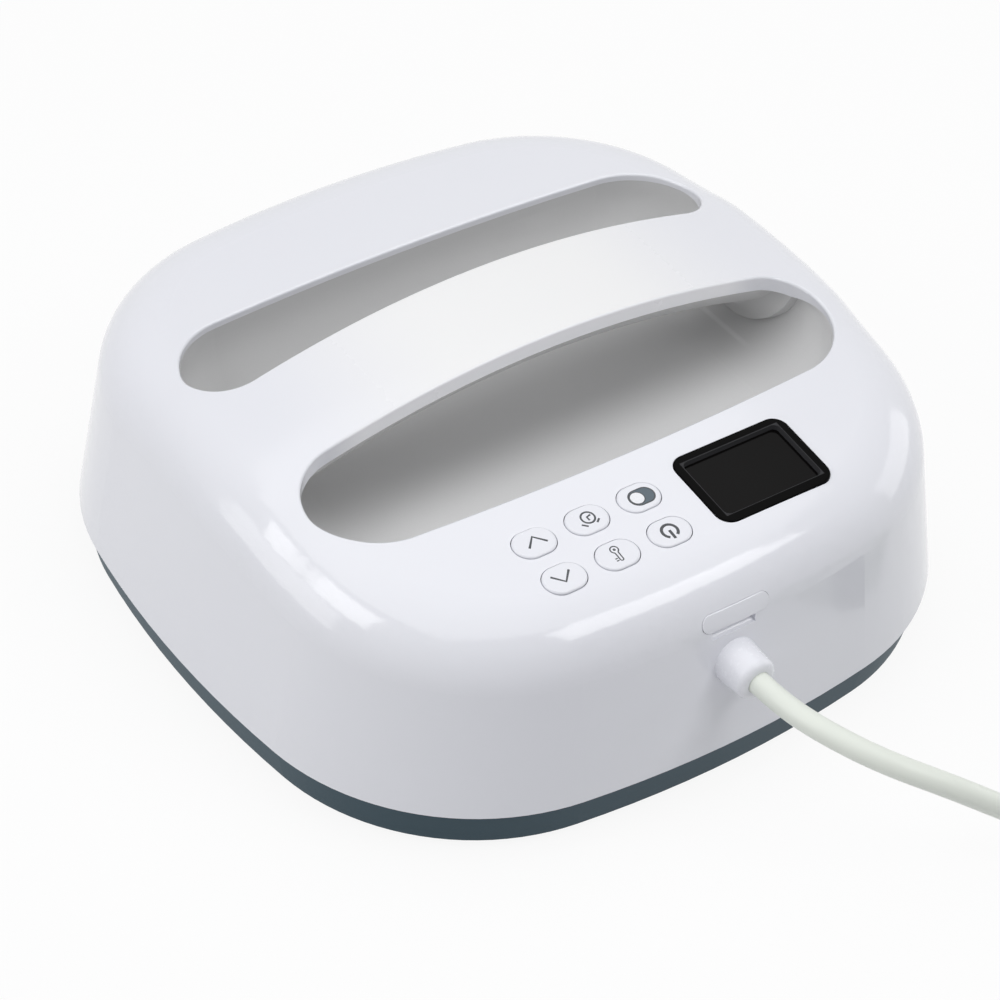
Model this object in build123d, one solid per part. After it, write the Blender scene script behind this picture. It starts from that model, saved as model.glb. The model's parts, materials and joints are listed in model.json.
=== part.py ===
from build123d import *
from math import asin, atan, atan2, cos, degrees, pi, radians, sin, sqrt, tan
import os

# A flat hand-held heat press: a square aluminium hot plate under a white crowned cover
# with an arched handle over a grey finger tub, keys and a display on the cord side.
# Millimetres. X is across the press, -Y is the side the user stands at, +Y is the
# cord side, Z is up. The origin is on the hot plate's face, at the body's centre.

os.makedirs("parts", exist_ok=True)

# Body outline at the cover's lower edge: a square with bowed sides and round corners
half_width = 130.0
side_radius = 402.0
corner_radius = 82.0

# Cover
plate_reach = 4.0
band_height = 13.6
draft = 9.0
rim_radius = 24.9
wall = 2.5
crest_height = 92.2
crest_y = -34.0
crown_radius = 950.0
cross_radius = 7700.0

# Handle
handle_width = 40.4
arch_height = 108.8
arch_radius = 330.0
lip_depth = 5.5
lip_wall = 2.2
shoulder_width = 33.0
merge_softness = 1.5

# Finger tub and the two openings in the cover above it
tub_half_length = 101.7
tub_half_width = 61.6
tub_side_radius = 1130.0
tub_end_radius = 26.2
tub_floor = 61.0
tub_floor_radius = 24.0
tub_wall = 2.4
opening_corner = 16.0
opening_edge = 0.8
tub_lug_x = 78.0
tub_lug_depth = 9.0
lug_thickness = 2.6

# Handle underside
grip_clearance = 0.3
grip_side = 1.5
grip_belly = 12.0
grip_wall = 3.0
bell_radius = 24.7
bell_depth = 2.2
bell_root = 15.0
bell_length = 22.0
grip_screw_x = 46.0
grip_boss = 9.0
grip_screw_wall = 3.0

# Base cover, hot plate and what is stacked on it
band_top_inset = 0.9
band_lower_inset = 3.8
base_wall = 2.6
base_floor = 3.0
base_recess = 4.0
locating_lip = 4.5
locating_gap = 0.3
plate_half = 114.3
plate_thickness = 9.0
plate_gap = 2.5
plate_edge = 1.2
element_diameter = 6.5
element_rise = 0.5
groove_gap = 0.1
element_side = 88.0
element_front = 72.0
element_inner = 30.0
element_bend = 16.0
element_turn_up = 8.0
element_end = 12.0
element_height = 32.0
pin_rise = 4.0
mat_thickness = 7.4
mat_gap = 0.2
shield_sheet = 0.8
skirt_gap = 0.3
shield_flange_inset = 6.6
spacer_diameter = 8.0
spacer_places = [(-58, -58), (58, -58), (-58, 50), (58, 50), (0, -40), (0, 52)]
hole_gap = 1.0
cutout_place = (-58.0, -5.0)
probe_place = (58.0, -5.0)
cutout_diameter = 16.0
cutout_height = 12.0
cutout_tab = 3.4
probe_diameter = 5.0
sensor_reach = 11.5
bush_stem = 10.0
bush_flange = 13.0
earth_place = (0.0, 88.0)

# Control panel: depths are measured square to the sloping panel
panel_y = 88.0
key_columns = [46.9, 26.9, 6.9]
key_rows = [79.6, 95.8]
key_length = 14.9
key_width = 11.0
key_gap = 0.25
key_proud = 0.5
key_travel = 0.5
flange_rim = 1.3
flange_thickness = 1.0
flange_depth = 3.5
stem_diameter = 4.0
board_depth = 11.0
board_thickness = 1.6
switch_height = 3.5
switch_side = 6.0
plunger_diameter = 3.4
plunger_gap = 0.05
plunger_rise = 0.5
plunger_length = 3.0
display_x = -32.4
display_y = 86.8
display_length = 44.9
display_width = 31.2
display_corner = 5.4
display_gap = 0.15
bezel_frame = 3.2
window_corner = 2.4
bezel_flange = 2.0
bezel_step = 1.3
bezel_proud = 0.4
window_thickness = 1.2
board_left = -65.0
board_right = 63.5
board_half = 17.0
post_diameter = 5.0
panel_posts = [(-61.5, 13.0), (-61.5, -13.0), (-4.9, 13.0), (-4.9, -13.0), (60.0, 13.0), (60.0, -13.0)]
buzzer_diameter = 12.0
buzzer_height = 7.0
buzzer_x = 36.0

# Power board under the tub
power_length = 100.0
power_width = 60.0
power_level = 33.0
power_post = 7.0
power_post_inset = 6.0
relay_place = (8.0, -16.0)
relay_size = (29.0, 12.5, 15.5)
transformer_place = (-26.0, -9.0)
core_size = (30.0, 16.0, 22.0)
bobbin_size = (21.0, 25.0, 16.0)
bobbin_rise = 3.0
capacitor_places = [(8.0, 5.0), (21.0, 5.0)]
capacitor_diameter = 10.0
capacitor_height = 18.0
fuse_place = (27.0, 18.0)
fuse_diameter = 5.2
fuse_length = 20.0
fuse_level = 4.2
terminal_y = 25.0
terminal_level = 41.0
terminal_depth = 10.0
terminal_height = 12.0
wire_pitch = 8.0
wire_diameter = 2.4
sensor_wire = 1.6
ribbon_x = -30.0
ribbon_y = 78.0
ribbon_foot = 24.0
ribbon_width = 12.0
ribbon_sheet = 0.8
ribbon_level = 46.0

# Fasteners
screw_diameter = 3.0
screw_head = 5.4
screw_head_height = 2.0
boss_diameter = 7.6
boss_inset = 9.2
boss_top = 46.0
flange_screw_offset = 60.0

# Cord inlet on the cord side
cord_diameter = 7.8
inlet_height = 48.8
gland_base = 16.6
gland_end = 14.6
gland_reach = 137.0
gland_round = 2.6
gland_stem = 14.2
gland_flange = 19.0
gland_inner_face = 118.0
gland_flange_thickness = 2.4
gland_bore_gap = 0.1
sheath_end = 98.0
clamp_y = 108.5
clamp_thickness = 4.0
clamp_half_length = 14.0
clamp_screw_offset = 10.0
clamp_bar_height = 7.5

# Pill-shaped plug above the inlet
plug_length = 26.0
plug_height = 6.0
plug_level = 65.9
plug_centre_x = -0.8
plug_gap = 0.15
plug_depth = 2.2
plug_proud = 0.3
scoop_length = 16.9
scoop_radius = 3.2
scoop_depth = 2.1
scoop_drop = 2.9
scoop_centre_x = 0.3

# The cord's route to the coil, its coil, tie and mains plug
cord_length = 1800.0
free_route = [
    (0, 137, 48.8),
    (0, 147, 48.8),
    (-3.2, 163.2, 48.6),
    (-13.1, 181.5, 45.2),
    (-31.2, 195.9, 36.3),
    (-50.9, 204.2, 21.8),
    (-70.5, 213, 9.6),
    (-86.5, 228.5, 5.1),
    (-102, 243.5, 5.1),
]
coil_pitch = 8.4
coil_layer = 8.3
coil_tail = 24.0
tie_gap = 0.25
tie_slack = 1.0
tie_sheet = 0.9
tie_width = 13.0
relief_start = 9.6
relief_end = 14.0
relief_length = 26.0
mains_body = 26.4
mains_length = 34.0
pin_length = 16.0
pin_spacing = 12.7
ground_drop = 11.9

# Values worked out from the driving sizes
edge_level = plate_reach + band_height
plate_inset = half_width - plate_half
frame_inset = plate_inset - plate_gap
floor_level = plate_reach + base_recess
ledge_level = floor_level + base_floor
element_level = plate_thickness + element_rise
mat_level = element_level + element_diameter / 2 + 0.05
shield_level = mat_level + mat_thickness + mat_gap
skirt_inset = frame_inset + skirt_gap
cord_radius = cord_diameter / 2
tilt = atan((panel_y - crest_y) / crown_radius)
arch_centre = arch_height - arch_radius
plunger_top = board_depth - switch_height - plunger_rise
case_top = 130.0

key_names = [["key_down", "key_up"], ["key_timer", "key_heat"], ["key_mode", "key_power"]]


def save(node, shape):
    shape = Compound(children=shape) if isinstance(shape, list) else shape
    export_step(shape, "parts/" + node + ".step")


# Outlines


def corner_centre():
    reach = side_radius - half_width
    span = side_radius - corner_radius
    return (-2 * reach + sqrt(4 * reach ** 2 - 8 * (reach ** 2 - span ** 2))) / 4


def body_outline(inset):
    reach = side_radius - half_width
    centre = corner_centre()
    radius = corner_radius - inset
    span = side_radius - corner_radius
    end = (centre + radius * (centre + reach) / span, centre + radius * centre / span)
    middle = centre + radius * sqrt(0.5)
    side = ThreePointArc((end[0], -end[1]), (half_width - inset, 0), end)
    corner = ThreePointArc(end, (middle, middle), (end[1], end[0]))
    edges = [edge.rotate(Axis.Z, turn) for turn in (0, 90, 180, 270) for edge in (side, corner)]
    return make_face(edges)


def side_reach(across, inset):
    return sqrt((side_radius - inset) ** 2 - across ** 2) - (side_radius - half_width)


def corner_place(inset):
    return corner_centre() + (corner_radius - inset) * sqrt(0.5)


def body_slab(inset, bottom, top):
    return extrude(Plane.XY.offset(bottom) * body_outline(inset), amount=top - bottom)


def tub_outline(grow):
    strip = Rectangle(2 * (tub_half_length + grow), 4 * tub_half_width)
    for side in (1, -1):
        strip &= Pos(0, side * (tub_half_width - tub_side_radius)) * Circle(tub_side_radius + grow)
    return fillet(strip.vertices(), tub_end_radius + grow)


def opening_outline(side, grow):
    beyond = 2 * tub_half_width
    half_plane = Pos(0, side * (handle_width + beyond) / 2) * Rectangle(4 * tub_half_length, beyond)
    core = offset(tub_outline(0) & half_plane, -opening_corner)
    return offset(core, opening_corner + grow)


# The crowned top, with the handle's ridge rising out of it


def dome_height(x, y):
    return crest_height - (y - crest_y) ** 2 / (2 * crown_radius) - x * x / (2 * cross_radius)


def ridge_height(x):
    rise = arch_centre + sqrt(arch_radius ** 2 - x * x) - dome_height(x, 0)
    return (rise + sqrt(rise ** 2 + merge_softness ** 2)) / 2


def top_height(x, y, ridge):
    fade = 1 / (1 + (abs(y) / shoulder_width) ** 8)
    return dome_height(x, y) + (ridge_height(x) * fade if ridge else 0)


def under_top(drop, ridge=True):
    reach = half_width + 8
    across = [0, 7, 14, 20, 25, 30, 35, 40, 46, 53, 62, 80, 105, reach] if ridge else [0, 70, reach]
    along = [0, 25, 50, 75, 90, 100, 110, 120, reach] if ridge else [0, reach]
    across = [-y for y in across[:0:-1]] + across
    along = [-x for x in along[:0:-1]] + along
    sections = []
    for x in along:
        points = [Vector(x, y, top_height(x, y, ridge) - drop) for y in across]
        floor = Polyline(points[-1], (x, reach, 0), (x, -reach, 0), points[0])
        sections.append(make_face([Spline(*points), *floor.edges()]))
    return loft(sections)


def rear_face(level):
    return half_width - tan(radians(draft)) * (level - edge_level)


def body_form(inset):
    walls = extrude(Plane.XY.offset(edge_level) * body_outline(inset), amount=case_top - 20, taper=draft)
    body = walls & under_top(inset)
    rim = [edge for edge in body.edges() if edge.center().Z > edge_level + rim_radius]
    return fillet(rim, rim_radius - inset)


# Small helpers


def turned(points, axis=Axis.Z):
    profile = make_face(Polyline(*points, close=True))
    return revolve(Plane.XZ * profile, axis)


def column(x, y, bottom, top, diameter):
    return Pos(x, y, bottom) * extrude(Circle(diameter / 2), amount=top - bottom)


def block(x, y, z, length, width, height):
    return Pos(x, y, z) * Box(length, width, height, align=(Align.CENTER, Align.CENTER, Align.MIN))


def screw(length, diameter=screw_diameter, head=screw_head):
    shank = Cylinder(diameter / 2, length, align=(Align.CENTER, Align.CENTER, Align.MAX))
    cap = Cylinder(head / 2, screw_head_height, align=(Align.CENTER, Align.CENTER, Align.MIN))
    cap = chamfer(cap.edges().sort_by(Axis.Z)[-1:], 0.5)
    return shank + cap


panel = Plane(
    origin=(0, panel_y, dome_height(0, panel_y)),
    x_dir=(1, 0, 0),
    z_dir=(0, sin(tilt), cos(tilt)),
)


def on_panel(shape, x, y, depth):
    return panel.location * Pos(x, (y - panel_y) / cos(tilt), -depth) * shape


def on_arch(shape, x):
    turn = degrees(asin(x / arch_radius))
    return Pos(0, 0, arch_centre) * Rot(0, turn, 0) * Pos(0, 0, arch_radius) * shape


def along_cord_axis(shape, y, level=inlet_height):
    return Pos(0, y, level) * Rot(-90, 0, 0) * shape


def key_places():
    return [(name, x, y) for names, x in zip(key_names, key_columns) for name, y in zip(names, key_rows)]


def case_screw_places():
    corner = corner_place(boss_inset)
    side = half_width - boss_inset
    return [(x * corner, y * corner) for x in (-1, 1) for y in (-1, 1)] + [(-side, 0), (side, 0)]


def flange_screw_places():
    reach = side_reach(flange_screw_offset, boss_inset)
    places = [(x * flange_screw_offset, y * reach) for x in (-1, 1) for y in (-1, 1)]
    return places + [(y, x) for x, y in places]


def tub_screw_places():
    across = tub_half_width + tub_wall + boss_diameter / 2
    return [(x * tub_lug_x, y * across) for x in (-1, 1) for y in (-1, 1)]



# Cover, tub and handle


def plug_shape(grow, bottom, top):
    face = SlotOverall(plug_length + 2 * grow, plug_height + 2 * grow)
    return Pos(plug_centre_x, bottom, plug_level) * Rot(-90, 0, 0) * extrude(face, amount=top - bottom)


def make_cover_wall():
    outer = body_form(0)
    return outer, outer - body_form(wall)


def make_top_cover(outer, shell):
    cover = shell
    skin = under_top(wall / 2) - under_top(lip_depth) - under_top(wall, ridge=False)
    for side in (1, -1):
        grown = extrude(opening_outline(side, lip_wall), amount=case_top)
        cover += grown & skin
    for side in (1, -1):
        cover -= Pos(0, 0, tub_floor) * extrude(opening_outline(side, 0), amount=case_top - tub_floor)
    cover = fillet(opening_rims(cover), opening_edge)
    cover += make_cover_bosses(outer)
    for name, x, y in key_places():
        hole = SlotOverall(key_length + 2 * key_gap, key_width + 2 * key_gap)
        cover -= on_panel(extrude(hole, amount=4, both=True), x, y, 1)
    hole_length, hole_width = display_length + 2 * display_gap, display_width + 2 * display_gap
    window = RectangleRounded(hole_length, hole_width, display_corner + display_gap)
    cover -= on_panel(extrude(window, amount=4, both=True), display_x, display_y, 1)
    cover -= along_cord_axis(Cylinder(gland_stem / 2 + 0.1, 30), half_width)
    cover -= plug_shape(plug_gap, clamp_y + clamp_thickness, half_width)
    scoop_y = rear_face(plug_level - scoop_drop) + scoop_radius - scoop_depth
    scoop = Rot(0, 90, 0) * Cylinder(scoop_radius, scoop_length)
    cover -= Pos(scoop_centre_x, scoop_y, plug_level - scoop_drop) * scoop
    return cover


def opening_rims(cover):
    rims = []
    for edge in cover.edges():
        at = edge.center()
        inside = abs(at.X) < tub_half_length + 1 and abs(at.Y) < tub_half_width + 1
        if inside and at.Z > top_height(at.X, at.Y, True) - 1.0:
            rims.append(edge)
    return rims


def make_cover_bosses(outer):
    bosses = []
    holes = []
    rib_bottom = edge_level + locating_lip + 1
    for x, y in case_screw_places():
        bosses.append(column(x, y, ledge_level, boss_top, boss_diameter))
        away = Vector(x, y, 0).normalized() * boss_inset * 0.45
        rib = block(0, 0, rib_bottom, boss_inset, 2, boss_top - rib_bottom)
        turn = degrees(Vector(1, 0, 0).get_signed_angle(Vector(x, y, 0)) * pi / 180)
        bosses.append(Pos(x + away.X, y + away.Y, 0) * Rot(0, 0, turn) * rib)
        holes.append(column(x, y, ledge_level - 1, boss_top - 14, screw_diameter))
    inside = body_form(wall / 2)
    for x, y in tub_screw_places():
        top = dome_height(x, y)
        bosses.append(column(x, y, top - tub_lug_depth, top, boss_diameter))
        holes.append(column(x, y, top - tub_lug_depth - 1, top - 4, screw_diameter))
    for x, v in panel_posts:
        y = panel_y + v * cos(tilt)
        post = extrude(Circle(post_diameter / 2), amount=board_depth - 1)
        bosses.append(on_panel(post, x, y, board_depth))
        hole = extrude(Circle(screw_diameter / 2), amount=board_depth - 4)
        holes.append(on_panel(hole, x, y, board_depth + 1))
    web_top = dome_height(0, clamp_y)
    web_height = web_top - inlet_height
    bosses.append(block(0, clamp_y, inlet_height, 2 * clamp_half_length, clamp_thickness, web_height))
    for x in (-clamp_screw_offset, clamp_screw_offset):
        bosses.append(column(x, clamp_y, inlet_height, web_top, boss_diameter))
        holes.append(column(x, clamp_y, inlet_height - 1, inlet_height + 14, screw_diameter))
    holes.append(along_cord_axis(Cylinder(cord_radius, 12), clamp_y))
    pad = Cylinder(gland_flange / 2 + 1.5, half_width - gland_inner_face - gland_flange_thickness)
    pad = along_cord_axis(pad, (half_width + gland_inner_face + gland_flange_thickness) / 2)
    bosses.append(pad)
    for x in (-grip_screw_x, grip_screw_x):
        boss = Cylinder(boss_diameter / 2, grip_boss, align=(Align.CENTER, Align.CENTER, Align.MAX))
        bosses.append(on_arch(boss, x))
        hole = Cylinder(screw_diameter / 2, grip_boss, align=(Align.CENTER, Align.CENTER, Align.MAX))
        holes.append(on_arch(Pos(0, 0, -4) * hole, x))
    joined = Part() + bosses
    return (joined & inside) - holes


def tub_block(grow, top):
    floor = tub_floor - grow
    body = Pos(0, 0, floor) * extrude(tub_outline(grow), amount=top - floor)
    return fillet(body.edges().group_by(Axis.Z)[0], tub_floor_radius + grow)


def make_tub(cavity):
    tub = tub_block(tub_wall, case_top)
    for x, y in tub_screw_places():
        level = dome_height(x, y) - tub_lug_depth
        inward = -1 if y > 0 else 1
        arm = Rectangle(boss_diameter + 3, boss_diameter)
        lug = Pos(0, inward * boss_diameter / 2) * arm + Circle(boss_diameter / 2 + 1.5)
        tub += Pos(x, y, level - lug_thickness) * extrude(lug, amount=lug_thickness)
        tub -= column(x, y, level - lug_thickness - 1, level + 1, screw_diameter + 0.4)
    for x, y in power_posts():
        tub += column(x, y, power_level + board_thickness, tub_floor - tub_wall / 2, power_post)
        tub -= column(x, y, power_level, tub_floor - tub_wall, screw_diameter)
    return (tub - cavity) & under_top(wall + 0.05, ridge=False) & body_form(wall + 0.05)


def power_posts():
    x = power_length / 2 - power_post_inset
    y = power_width / 2 - power_post_inset
    return [(a * x, b * y) for a in (-1, 1) for b in (-1, 1)]


def grip_section(half, side, belly, top):
    arc = ThreePointArc((-half, side), (0, side - belly), (half, side))
    return make_face([arc, *Polyline((half, side), (half, top), (-half, top), (-half, side)).edges()])


def swept_grip(section, half_length):
    swing = degrees(asin(half_length / arch_radius))
    axis = Axis((0, 0, arch_centre), (0, 1, 0))
    start = Plane.YZ * Pos(0, arch_height) * section
    return revolve(start, axis, swing) + revolve(start, axis, -swing)


def make_grip(cavity):
    seat = -lip_depth - grip_clearance
    side = seat - grip_side
    half = handle_width / 2 - 2 * grip_clearance
    tongue = handle_width / 2 - lip_wall - grip_clearance
    channel = tongue - grip_wall
    roof = under_top(lip_depth + grip_clearance)
    body = swept_grip(grip_section(half, side, grip_belly, 6), tub_half_length + 4) & roof & cavity
    body += [make_bell(end) & roof & cavity for end in (-1, 1)]
    ridge = swept_grip(Pos(0, side / 2) * Rectangle(2 * tongue, -side), tub_half_length)
    body += ridge & under_top(wall + grip_clearance) & cavity
    hollow = grip_section(channel, side, grip_belly - grip_wall, 6)
    body -= swept_grip(hollow, tub_half_length - 1.2 * bell_length)
    for end in (-1, 1):
        screw_x = end * grip_screw_x
        seat_block = Cylinder(boss_diameter / 2 + 1.5, 30, align=(Align.CENTER, Align.CENTER, Align.MAX))
        seat_block = on_arch(Pos(0, 0, -grip_boss - wall) * seat_block, screw_x)
        body += seat_block & swept_grip(grip_section(half - 1, side, grip_belly - 1, 0), tub_half_length)
        body -= on_arch(Cylinder(screw_diameter / 2 + 0.2, 80), screw_x)
        sink = Cylinder(screw_head / 2 + 0.3, 30, align=(Align.CENTER, Align.CENTER, Align.MAX))
        body -= on_arch(Pos(0, 0, -grip_boss - wall - grip_screw_wall) * sink, screw_x)
    return body


def make_bell(end):
    small = bell_root
    reach = bell_length
    middle = (-reach * 0.35, small + (bell_radius - small) * 0.3)
    flare = ThreePointArc((0, bell_radius), middle, (-reach, small))
    lines = Polyline((-reach, small), (-reach, 0), (8, 0), (8, bell_radius), (0, bell_radius)).edges()
    bell = revolve(Plane.XZ * make_face([flare, *lines]), Axis.X)
    placed = on_arch(Pos(0, 0, -bell_depth) * bell, tub_half_length - 1)
    return placed if end > 0 else mirror(placed, Plane.YZ)


# Hardware below the cover


def make_base():
    taper = degrees(atan((band_lower_inset - band_top_inset) / band_height))
    top = Plane.XY.offset(edge_level) * body_outline(band_top_inset)
    base = extrude(top, amount=-band_height, taper=taper)
    lip = wall + locating_gap + locating_lip * tan(radians(draft))
    base += body_slab(lip, ledge_level, edge_level + locating_lip)
    base -= body_slab(lip + base_wall - 1, ledge_level, edge_level + locating_lip)
    base -= body_slab(band_lower_inset + base_wall, plate_reach, floor_level)
    base -= body_slab(frame_inset, floor_level, ledge_level)
    for x, y in case_screw_places():
        base -= column(x, y, ledge_level, edge_level + locating_lip, boss_diameter + 2 * locating_gap)
        base -= column(x, y, floor_level, ledge_level, screw_diameter + 0.4)
    for x, y in flange_screw_places():
        base -= column(x, y, floor_level, ledge_level, screw_diameter)
    return base


def element_loop():
    side, front, inner = element_side, element_front, element_inner
    half = [(-element_end, front), (-side, front), (-side, -side), (-inner, -side), (-inner, inner)]
    return [(x, y, element_level) for x, y in half + [(-x, y) for x, y in half[::-1]]]


def element_path():
    flat = element_loop()
    ends = [(-element_end, element_front, element_height), (element_end, element_front, element_height)]
    radii = [element_turn_up] + [element_bend] * (len(flat) - 2) + [element_turn_up]
    return FilletPolyline(ends[0], *flat, ends[1], radius=radii)


def make_element():
    path = element_path()
    tube = sweep(Plane(path @ 0, z_dir=path % 0) * Circle(element_diameter / 2), path=path)
    for x in (-element_end, element_end):
        tube += column(x, element_front, element_height - 1, element_height + pin_rise, 3)
    return tube


def make_plate():
    plate = body_slab(plate_inset, 0, plate_thickness)
    plate = fillet(plate.edges().group_by(Axis.Z)[0], plate_edge)
    path = FilletPolyline(*element_loop(), radius=element_bend)
    groove = sweep(Plane(path @ 0, z_dir=path % 0) * Circle(element_diameter / 2 + groove_gap), path=path)
    plate -= groove
    for x in (-element_end, element_end):
        plate -= Pos(x, element_front, element_level) * Sphere(element_diameter / 2 + 3)
    for x, y in spacer_places:
        plate -= column(x, y, plate_thickness - 6.5, plate_thickness, screw_diameter)
    for x, y in sensor_screw_places():
        plate -= column(x, y, plate_thickness - 5.5, plate_thickness, screw_diameter)
    return plate


def sensor_screw_places():
    x, y = cutout_place
    u, v = probe_place
    return [(x - sensor_reach, y), (x + sensor_reach, y), (u + 5, v)]


def sensor_window():
    shape = SlotOverall(2 * sensor_reach + 8, cutout_diameter + 2)
    return [Pos(*cutout_place) * shape, Pos(*probe_place) * SlotOverall(22, 14)]


def make_mat():
    mat = body_slab(plate_inset + 1, mat_level, mat_level + mat_thickness)
    for x, y in spacer_places:
        mat -= column(x, y, mat_level, mat_level + mat_thickness, spacer_diameter + hole_gap)
    slot = 2 * element_turn_up + element_diameter + 3
    shift = element_turn_up - element_diameter / 2
    for x in (-element_end - shift, element_end + shift):
        mat -= block(x, element_front, mat_level, slot, bush_stem + hole_gap, 20)
    mat -= [Pos(0, 0, mat_level) * extrude(shape, amount=20) for shape in sensor_window()]
    mat -= column(*earth_place, mat_level, mat_level + mat_thickness, screw_diameter + hole_gap)
    return mat


def make_shield():
    top = shield_level + shield_sheet
    pan = body_slab(skirt_inset, ledge_level, top)
    pan -= body_slab(skirt_inset + shield_sheet, ledge_level, shield_level)
    flange = body_slab(shield_flange_inset, ledge_level, ledge_level + shield_sheet)
    pan += flange - body_slab(skirt_inset + shield_sheet / 2, ledge_level, top)
    for x, y in case_screw_places():
        pan -= column(x, y, 0, ledge_level + 4, boss_diameter + 2 * locating_gap)
    for x, y in flange_screw_places():
        pan -= column(x, y, 0, ledge_level + 4, screw_diameter + 0.4)
    for x, y in spacer_places:
        pan -= column(x, y, shield_level - 1, top + 1, screw_diameter + 0.4)
    for x in (-element_end, element_end):
        pan -= column(x, element_front, shield_level - 1, top + 1, bush_stem + 0.2)
    pan -= [Pos(0, 0, shield_level - 1) * extrude(shape, amount=4) for shape in sensor_window()]
    pan -= column(*earth_place, shield_level - 1, top + 1, screw_diameter)
    return pan


def make_bush(x):
    bore = element_diameter / 2 + 0.15
    top = shield_level + shield_sheet
    stem = column(x, element_front, shield_level - 1.2, top + 4, bush_stem)
    bush = stem + column(x, element_front, top, top + 4, bush_flange)
    return bush - column(x, element_front, 0, top + 10, 2 * bore)


def make_cutout():
    x, y = cutout_place
    base = plate_thickness
    body = column(x, y, base, base + cutout_height, cutout_diameter - 4)
    body = chamfer(body.edges().group_by(Axis.Z)[-1], 0.8)
    strap = Pos(x, y, base) * extrude(SlotOverall(2 * sensor_reach + 7, 7), amount=0.8)
    strap -= [column(sx, sy, 0, 20, screw_diameter + 0.3) for sx, sy in sensor_screw_places()[:2]]
    tabs = [block(x + a, y, base + cutout_height - 1, 0.8, 6.3, 7) for a in (-cutout_tab, cutout_tab)]
    return body + strap + tabs


def make_probe():
    x, y = probe_place
    base = plate_thickness
    strap = Pos(x, y, base) * extrude(SlotOverall(18, 7), amount=1)
    bead = Pos(x - 3, y, base + probe_diameter / 2 + 0.6) * Rot(0, 90, 0) * Cylinder(probe_diameter / 2, 8)
    return strap + bead - column(x + 5, y, 0, 20, screw_diameter + 0.3)


# Electronics


def make_bezel():
    outer = RectangleRounded(display_length, display_width, display_corner)
    inner_length, inner_width = display_length - 2 * bezel_frame, display_width - 2 * bezel_frame
    inner = RectangleRounded(inner_length, inner_width, window_corner)
    pocket = RectangleRounded(display_length - 3.4, display_width - 3.4, display_corner - 1.7)
    rim_length, rim_width = display_length + 2 * bezel_flange, display_width + 2 * bezel_flange
    rim = RectangleRounded(rim_length, rim_width, display_corner + 1)
    frame = Pos(0, 0, -flange_depth) * extrude(outer, amount=flange_depth + bezel_proud)
    frame = fillet(frame.edges().group_by(Axis.Z)[-1], 0.6)
    frame += Pos(0, 0, -flange_depth - 1) * extrude(rim, amount=1)
    frame -= Pos(0, 0, -flange_depth - 1) * extrude(pocket, amount=flange_depth + 1 - bezel_step)
    slope = Pos(0, 0, bezel_proud) * extrude(inner, amount=-bezel_step - bezel_proud - 1, taper=12)
    return on_panel(frame - slope, display_x, display_y, 0)


def make_window():
    pane = RectangleRounded(display_length - 3.7, display_width - 3.7, display_corner - 1.9)
    pane = extrude(pane, amount=-window_thickness)
    return on_panel(pane, display_x, display_y, bezel_step + 0.02)


def make_lcd():
    top = bezel_step + window_thickness + 0.1
    glass = block(0, 0, -top - 2.4, display_length - 6.6, display_width - 6.6, 2.4)
    backing = block(0, 0, -board_depth, display_length - 9, display_width - 8, board_depth - top - 2.4)
    return on_panel(glass + backing, display_x, display_y, 0)


def make_key(x, y):
    face = SlotOverall(key_length, key_width)
    cap = Pos(0, 0, -flange_depth) * extrude(face, amount=flange_depth + key_proud)
    cap = fillet(cap.edges().group_by(Axis.Z)[-1], 0.7)
    rim = SlotOverall(key_length + 2 * flange_rim, key_width + 2 * flange_rim)
    bottom = flange_depth + flange_thickness
    cap += Pos(0, 0, -bottom) * extrude(rim, amount=flange_thickness)
    hollow = SlotOverall(key_length - 3, key_width - 3)
    cap -= Pos(0, 0, -bottom) * extrude(hollow, amount=bottom - 1.2)
    stem = Cylinder(stem_diameter / 2, plunger_top - 1, align=(Align.CENTER, Align.CENTER, Align.MIN))
    cap += Pos(0, 0, -plunger_top) * stem
    return on_panel(cap, x, y, 0)


def make_plunger(x, y):
    pin = extrude(Circle(plunger_diameter / 2), amount=-plunger_length)
    return on_panel(pin, x, y, plunger_top)


def make_switch(x, y):
    body = block(0, 0, -board_depth, switch_side, switch_side, switch_height)
    body = chamfer(body.edges().filter_by(Axis.Z), 0.6)
    room = Circle(plunger_diameter / 2 + plunger_gap)
    body -= Pos(0, 0, -plunger_top - plunger_length - key_travel - 0.1) * extrude(room, amount=10)
    return on_panel(body, x, y, 0)


def make_control_board():
    middle = (board_left + board_right) / 2
    board = RectangleRounded(board_right - board_left, 2 * board_half, 1.5)
    board -= [Pos(x - middle, v) * Circle(screw_diameter / 2 + 0.2) for x, v in panel_posts]
    return on_panel(extrude(board, amount=-board_thickness), middle, panel_y, board_depth)


def make_buzzer():
    can = Cylinder(buzzer_diameter / 2, buzzer_height, align=(Align.CENTER, Align.CENTER, Align.MAX))
    can = fillet(can.edges().group_by(Axis.Z)[0], 0.8)
    can -= Pos(0, 0, -buzzer_height) * Cylinder(1.2, 4)
    return on_panel(can, buzzer_x, panel_y, board_depth + board_thickness)


def make_power_board():
    board = Rectangle(power_length, power_width)
    board = fillet(board.vertices(), 2)
    board -= [Pos(x, y) * Circle(screw_diameter / 2 + 0.2) for x, y in power_posts()]
    return Pos(0, 0, power_level) * extrude(board, amount=board_thickness)


def make_transformer(level):
    core = block(*transformer_place, level, *core_size)
    bobbin = block(*transformer_place, level + bobbin_rise, *bobbin_size)
    return core + fillet(bobbin.edges().filter_by(Axis.Y), 2)


def make_capacitors(level):
    cans = []
    for x, y in capacitor_places:
        can = column(x, y, level, level + capacitor_height, capacitor_diameter)
        cans.append(fillet(can.edges().group_by(Axis.Z)[-1], 0.7))
    return cans


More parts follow.
